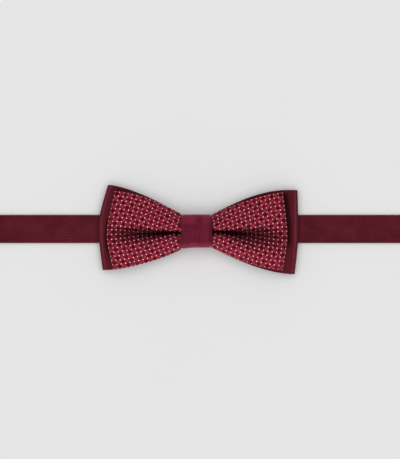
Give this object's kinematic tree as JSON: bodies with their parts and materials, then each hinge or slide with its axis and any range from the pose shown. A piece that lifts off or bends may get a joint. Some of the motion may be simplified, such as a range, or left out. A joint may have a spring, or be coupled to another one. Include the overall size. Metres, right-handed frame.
{
  "type": "bow tie",
  "caption": "Ready-tied layered bow tie: dotted bow over a satin bow, satin knot wrap, and an adjustable satin neckband with slider, hook and eye.",
  "frame": {"origin": "on the surface it lies on, under the middle of the bows", "axes": "+X along the open neckband towards the eye, +Y towards the bow's top edge as worn, +Z out of the bow's front, away from the neck"},
  "size_m": [0.444, 0.0536, 0.0169],
  "materials": {
    "burgundy_satin": "satin weave, soft sheen",
    "dotted_weave": "woven check of two reds with white pin dots",
    "interlining": "matt canvas",
    "sewing_thread": "twisted polyester thread",
    "hardware_metal": "satin nickel plate"
  },
  "bodies": {
    "bow": {"satin_bow": "burgundy_satin", "satin_bow_interlining": "interlining", "patterned_bow": "dotted_weave", "patterned_bow_interlining": "interlining", "waist_binding_thread": "sewing_thread", "knot_padding": "interlining", "knot_wrap": "burgundy_satin", "knot_wrap_stitches": "sewing_thread", "neckband_centre": "burgundy_satin"},
    "left_band_1": {"neckband_left_1": "burgundy_satin"},
    "left_band_2": {"neckband_left_2": "burgundy_satin"},
    "left_band_3": {"neckband_left_3": "burgundy_satin", "neckband_seam_stitches": "sewing_thread"},
    "left_band_4": {"neckband_left_4": "burgundy_satin"},
    "left_band_5": {"neckband_left_5": "burgundy_satin"},
    "left_band_6": {"neckband_left_6": "burgundy_satin", "adjuster_outer_run": "burgundy_satin"},
    "right_band_1": {"neckband_right_1": "burgundy_satin"},
    "right_band_2": {"neckband_right_2": "burgundy_satin"},
    "right_band_3": {"neckband_right_3": "burgundy_satin"},
    "right_band_4": {"neckband_right_4": "burgundy_satin"},
    "right_band_5": {"neckband_right_5": "burgundy_satin"},
    "right_band_6": {"neckband_right_6": "burgundy_satin", "eye_strap_loop": "burgundy_satin", "eye_bar_tack": "sewing_thread"},
    "hook_strap": {"hook_strap_loop": "burgundy_satin", "adjuster_return_run": "burgundy_satin"},
    "hook": {"hook": "hardware_metal"},
    "slider": {"slider_frame": "hardware_metal", "slider_strap_tab": "burgundy_satin", "slider_bar_tack": "sewing_thread"},
    "eye": {"eye": "hardware_metal"}
  },
  "joints": [
    {"name": "left_wrap", "type": "hinge", "parent": "bow", "child": "left_band_1", "pos_m": [-0.031, 0.0005, 0.001], "axis": [0, -1, 0], "range_deg": [0, 20]},
    {"name": "left_curl_2", "type": "hinge", "parent": "left_band_1", "child": "left_band_2", "pos_m": [-0.049, 0.0005, 0.001], "axis": [0, -1, 0], "range_deg": [0, 20]},
    {"name": "left_curl_3", "type": "hinge", "parent": "left_band_2", "child": "left_band_3", "pos_m": [-0.067, 0.0005, 0.001], "axis": [0, -1, 0], "range_deg": [0, 20]},
    {"name": "left_curl_4", "type": "hinge", "parent": "left_band_3", "child": "left_band_4", "pos_m": [-0.085, 0.0005, 0.001], "axis": [0, -1, 0], "range_deg": [0, 20]},
    {"name": "left_curl_5", "type": "hinge", "parent": "left_band_4", "child": "left_band_5", "pos_m": [-0.103, 0.0005, 0.001], "axis": [0, -1, 0], "range_deg": [0, 20]},
    {"name": "left_curl_6", "type": "hinge", "parent": "left_band_5", "child": "left_band_6", "pos_m": [-0.121, 0.0005, 0.001], "axis": [0, -1, 0], "range_deg": [0, 28]},
    {"name": "right_wrap", "type": "hinge", "parent": "bow", "child": "right_band_1", "pos_m": [0.031, 0.0005, 0.001], "axis": [0, 1, 0], "range_deg": [0, 20]},
    {"name": "right_curl_2", "type": "hinge", "parent": "right_band_1", "child": "right_band_2", "pos_m": [0.049, 0.0005, 0.001], "axis": [0, 1, 0], "range_deg": [0, 20]},
    {"name": "right_curl_3", "type": "hinge", "parent": "right_band_2", "child": "right_band_3", "pos_m": [0.067, 0.0005, 0.001], "axis": [0, 1, 0], "range_deg": [0, 20]},
    {"name": "right_curl_4", "type": "hinge", "parent": "right_band_3", "child": "right_band_4", "pos_m": [0.085, 0.0005, 0.001], "axis": [0, 1, 0], "range_deg": [0, 20]},
    {"name": "right_curl_5", "type": "hinge", "parent": "right_band_4", "child": "right_band_5", "pos_m": [0.103, 0.0005, 0.001], "axis": [0, 1, 0], "range_deg": [0, 20]},
    {"name": "right_curl_6", "type": "hinge", "parent": "right_band_5", "child": "right_band_6", "pos_m": [0.121, 0.0005, 0.001], "axis": [0, 1, 0], "range_deg": [0, 28]},
    {"name": "length_adjust", "type": "slide", "parent": "left_band_6", "child": "hook_strap", "axis": [-1, 0, 0], "range_m": [-0.008, 0.022], "deforming": ["adjuster_outer_run", "adjuster_return_run"]},
    {"name": "slider_slide", "type": "slide", "parent": "hook_strap", "child": "slider", "axis": [-1, 0, 0], "range_m": [-0.008, 0.022]},
    {"name": "hook_swivel", "type": "hinge", "parent": "hook_strap", "child": "hook", "pos_m": [-0.208, 0.0005, 0.00285], "axis": [0, -1, 0], "range_deg": [-60, 60]},
    {"name": "eye_swivel", "type": "hinge", "parent": "right_band_6", "child": "eye", "pos_m": [0.208, 0.0005, 0.00285], "axis": [0, 1, 0], "range_deg": [-60, 60]}
  ],
  "couplings": [
    {"joint": "left_curl_2", "follows": "left_wrap", "ratio": 1},
    {"joint": "left_curl_3", "follows": "left_wrap", "ratio": 1},
    {"joint": "left_curl_4", "follows": "left_wrap", "ratio": 1},
    {"joint": "left_curl_5", "follows": "left_wrap", "ratio": 1},
    {"joint": "left_curl_6", "follows": "left_wrap", "ratio": 1.4},
    {"joint": "right_curl_2", "follows": "right_wrap", "ratio": 1},
    {"joint": "right_curl_3", "follows": "right_wrap", "ratio": 1},
    {"joint": "right_curl_4", "follows": "right_wrap", "ratio": 1},
    {"joint": "right_curl_5", "follows": "right_wrap", "ratio": 1},
    {"joint": "right_curl_6", "follows": "right_wrap", "ratio": 1.4},
    {"joint": "slider_slide", "follows": "length_adjust", "ratio": 1}
  ]
}
